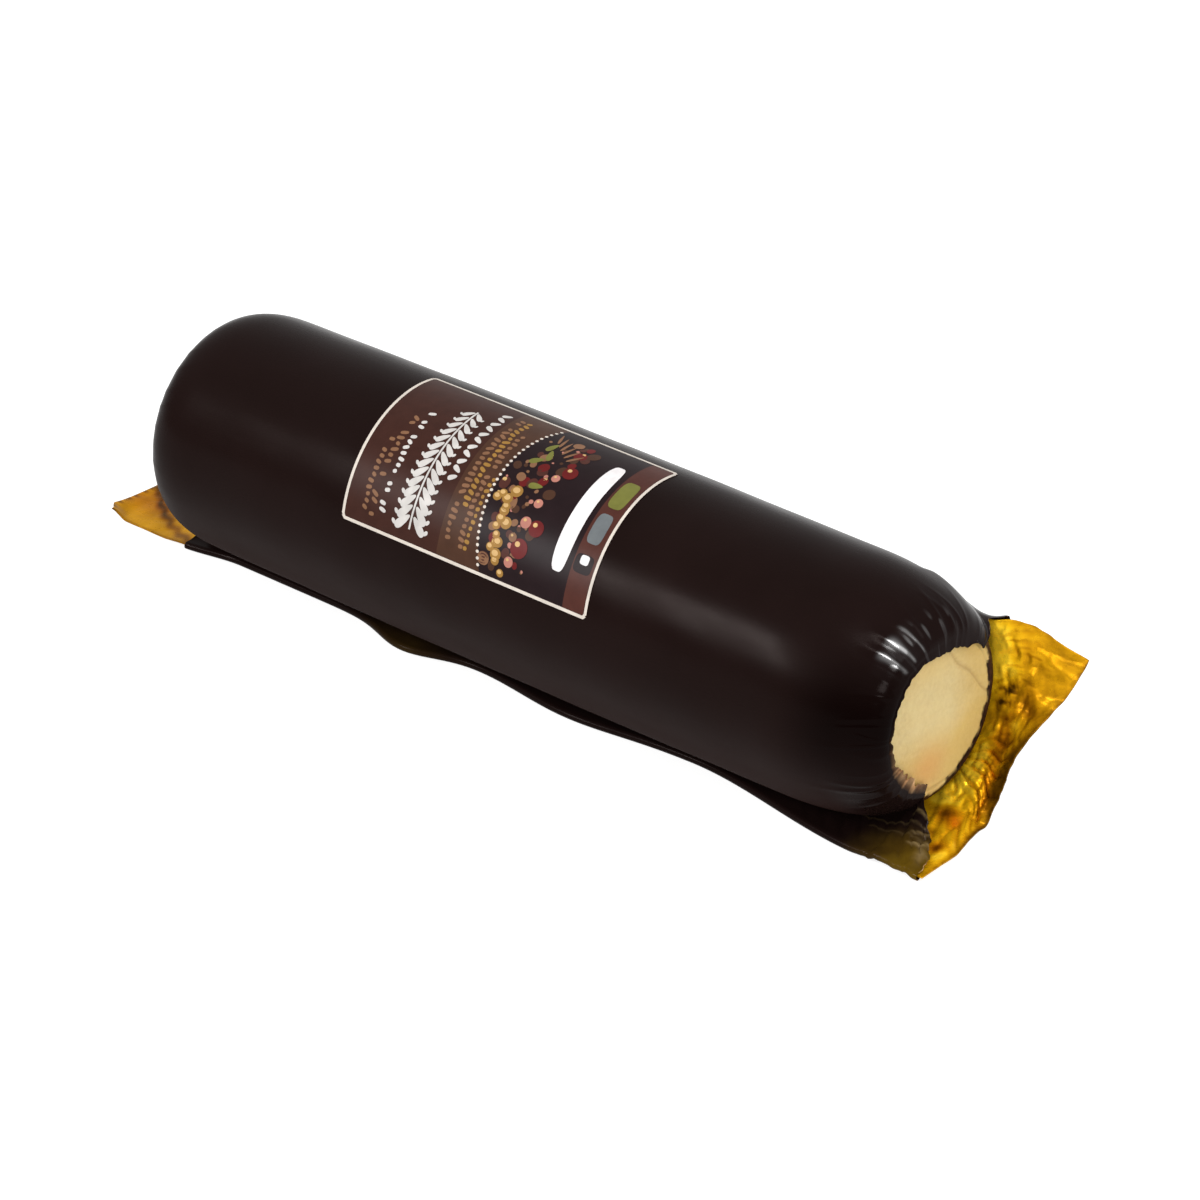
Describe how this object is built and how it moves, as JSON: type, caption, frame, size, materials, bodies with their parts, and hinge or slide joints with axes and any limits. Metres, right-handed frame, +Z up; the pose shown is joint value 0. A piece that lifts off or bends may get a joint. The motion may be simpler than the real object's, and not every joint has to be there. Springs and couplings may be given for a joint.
{
  "type": "wrapped smoked cheese",
  "caption": "Long round smoked cheese with flat cut ends in a tight brown film sleeve, with a printed label and a gold card folded round its underside.",
  "frame": {"origin": "on the surface the pack lies on, at the bottom centre of its bounding box", "axes": "+X runs along the cheese towards its bared cut end, +Z is up, and -Y is the front, where the label shows"},
  "size_m": [0.2988, 0.0886, 0.0705],
  "materials": {
    "cheese": "moist, close-grained cut cheese",
    "gold_card": "crinkled glossy gold foil",
    "brown_film": "satin shrink film",
    "printed_label": "satin printed film"
  },
  "bodies": {
    "root": {"cheese": "cheese", "card": "gold_card", "sleeve": "brown_film", "label": "printed_label"}
  },
  "joints": []
}
